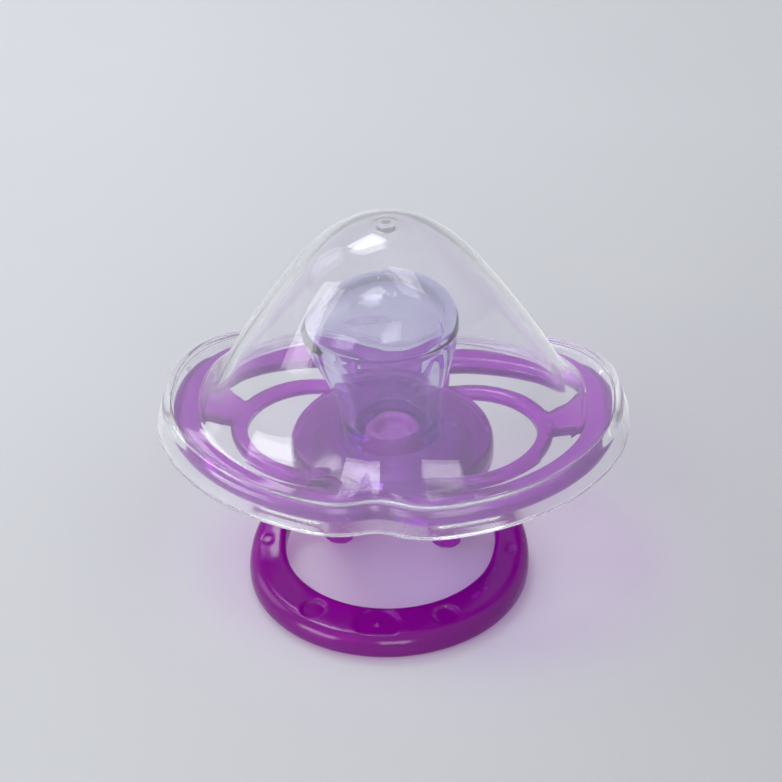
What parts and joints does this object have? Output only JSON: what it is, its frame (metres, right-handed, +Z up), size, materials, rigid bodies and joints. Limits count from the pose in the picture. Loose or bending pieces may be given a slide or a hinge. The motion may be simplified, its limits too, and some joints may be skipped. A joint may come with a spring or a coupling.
{
  "type": "pacifier",
  "caption": "Baby's pacifier standing nipple up: a clear push-on cap over a silicone nipple, an openwork oval shield with a domed hub, and a swinging ring handle behind it.",
  "frame": {"origin": "on the floor, under the middle of the whole pacifier's bounding box", "axes": "+Z up along the nipple, away from the handle; +X left to right across the shield; the ring handle lies towards -Y"},
  "size_m": [0.0486, 0.038, 0.0384],
  "materials": {
    "clear_cap": "clear, slightly milky, polished",
    "silicone": "clear soft silicone, glossy",
    "purple_plastic": "translucent tinted, glossy",
    "deep_purple_plastic": "translucent deep tint, glossy"
  },
  "bodies": {
    "pacifier": {"shield": "purple_plastic", "nipple": "silicone", "plug": "purple_plastic", "back_cover": "purple_plastic"},
    "ring": {"ring_handle": "deep_purple_plastic"},
    "cap": {"cap": "clear_cap"}
  },
  "joints": [
    {"name": "ring_hinge", "type": "hinge", "parent": "pacifier", "child": "ring", "pos_m": [0, 0.00216, 0.003], "axis": [1, 0, 0], "range_deg": [-22, 194]},
    {"name": "cap_lift", "type": "slide", "parent": "pacifier", "child": "cap", "axis": [0, 0, 1], "range_m": [0, 0.035]}
  ]
}
